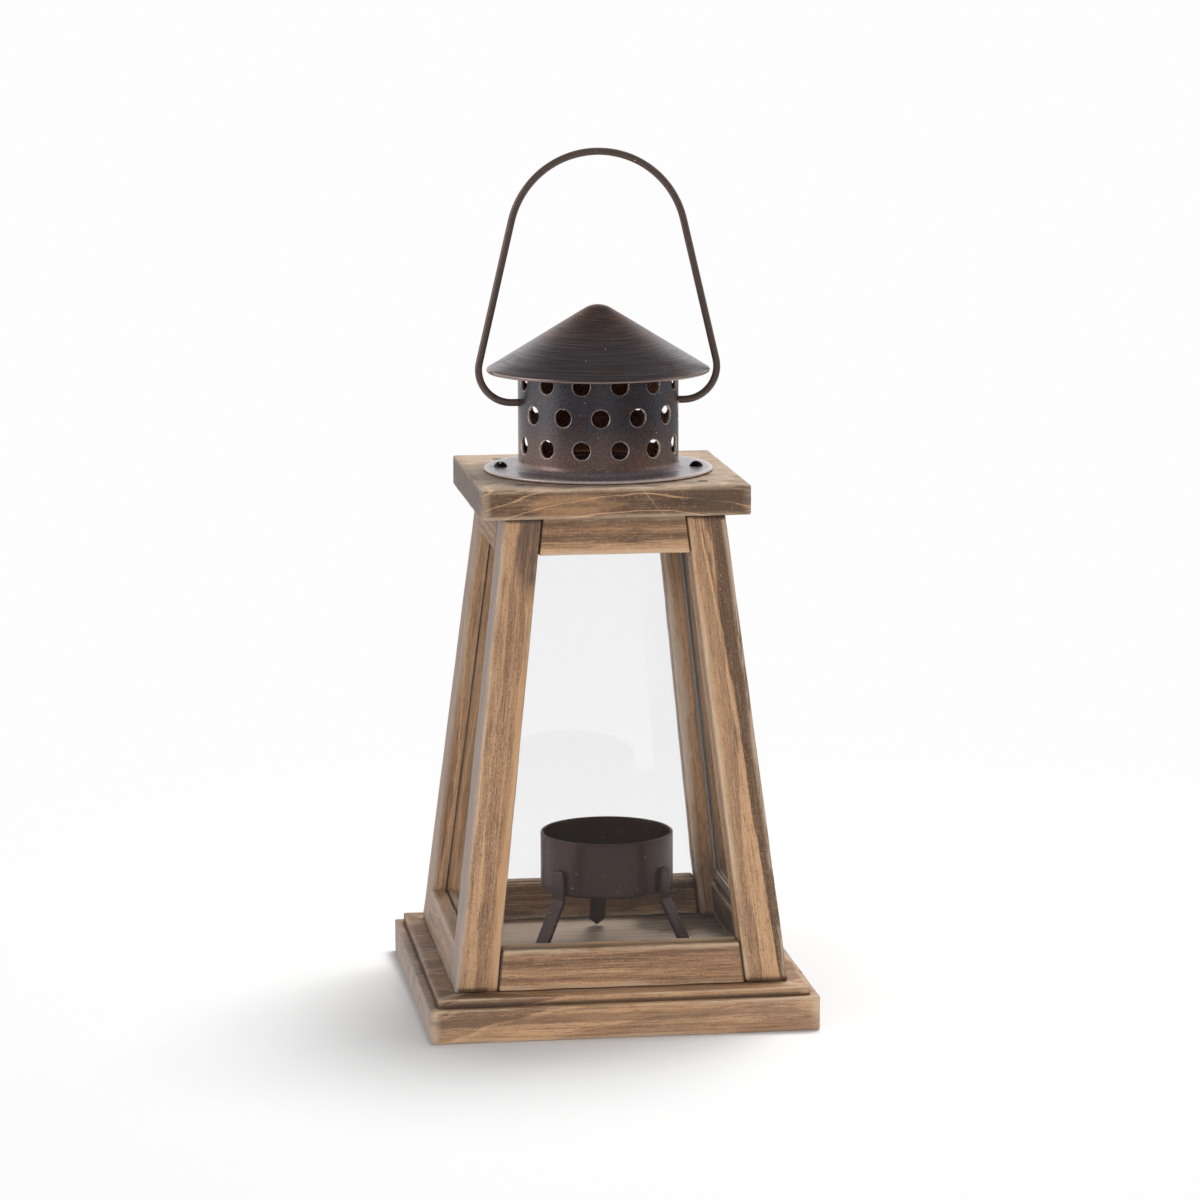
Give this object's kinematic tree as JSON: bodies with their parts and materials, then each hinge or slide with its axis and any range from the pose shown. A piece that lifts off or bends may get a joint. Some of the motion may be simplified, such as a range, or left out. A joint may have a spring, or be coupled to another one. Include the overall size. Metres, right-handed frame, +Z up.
{
  "type": "tealight lantern",
  "caption": "Tapered wooden tealight lantern with glazed sides, a hinged door, a perforated chimney collar with a cone cap, and a wire bail.",
  "frame": {"origin": "centre of the base board's underside", "axes": "+Z up along the housing's axis, front face towards -Y, door in the +X side"},
  "size_m": [0.12, 0.12, 0.2666],
  "materials": {
    "housing_wood": "stained and scorched pine, waxed, satin, with worn lighter edges",
    "base_wood": "stained and scorched pine, satin, with a darker speckled step",
    "top_wood": "dark stained pine with growth rings on its end grain",
    "pane_glass": "clear float glass",
    "chimney_metal": "gunmetal, satin, with brown patches and bright worn hole rims",
    "cap_metal": "spun gunmetal with brush marks round the cone and a coppery tip",
    "bail_wire": "dark bronze lacquer, worn brown in places",
    "cup_metal": "dark brown satin with fine dust",
    "door_metal": "dark bronze satin",
    "fastener_steel": "blackened steel"
  },
  "bodies": {
    "housing": {"base_board": "base_wood", "leg_front_left": "housing_wood", "leg_front_right": "housing_wood", "leg_back_left": "housing_wood", "leg_back_right": "housing_wood", "bottom_rail_front": "housing_wood", "bottom_rail_back": "housing_wood", "bottom_rail_left": "housing_wood", "bottom_rail_right": "housing_wood", "top_rail_front": "housing_wood", "top_rail_back": "housing_wood", "top_rail_left": "housing_wood", "top_rail_right": "housing_wood", "pane_front": "pane_glass", "pane_back": "pane_glass", "pane_left": "pane_glass", "top_board": "top_wood", "chimney_collar": "chimney_metal", "cone_cap": "cap_metal", "flange_screw_1": "fastener_steel", "flange_screw_2": "fastener_steel", "tealight_cup": "cup_metal", "cup_leg_1": "cup_metal", "cup_leg_2": "cup_metal", "cup_leg_3": "cup_metal", "base_screw_front_left": "fastener_steel", "base_screw_front_right": "fastener_steel", "base_screw_back_left": "fastener_steel", "base_screw_back_right": "fastener_steel", "top_nail_front_left": "fastener_steel", "top_nail_front_right": "fastener_steel", "top_nail_back_left": "fastener_steel", "top_nail_back_right": "fastener_steel"},
    "door": {"door_frame": "door_metal", "door_pane": "pane_glass", "door_knob": "door_metal"},
    "bail": {"bail": "bail_wire"}
  },
  "joints": [
    {"name": "bail_hinge", "type": "hinge", "parent": "housing", "child": "bail", "pos_m": [0, 0, 0.1881], "axis": [1, 0, 0], "range_deg": [-112, 112]},
    {"name": "door_hinge", "type": "hinge", "parent": "housing", "child": "door", "pos_m": [0.03699, 0.02749, 0.0849], "axis": [-0.1202, -0.0899, 0.9887], "range_deg": [0, 90]}
  ]
}
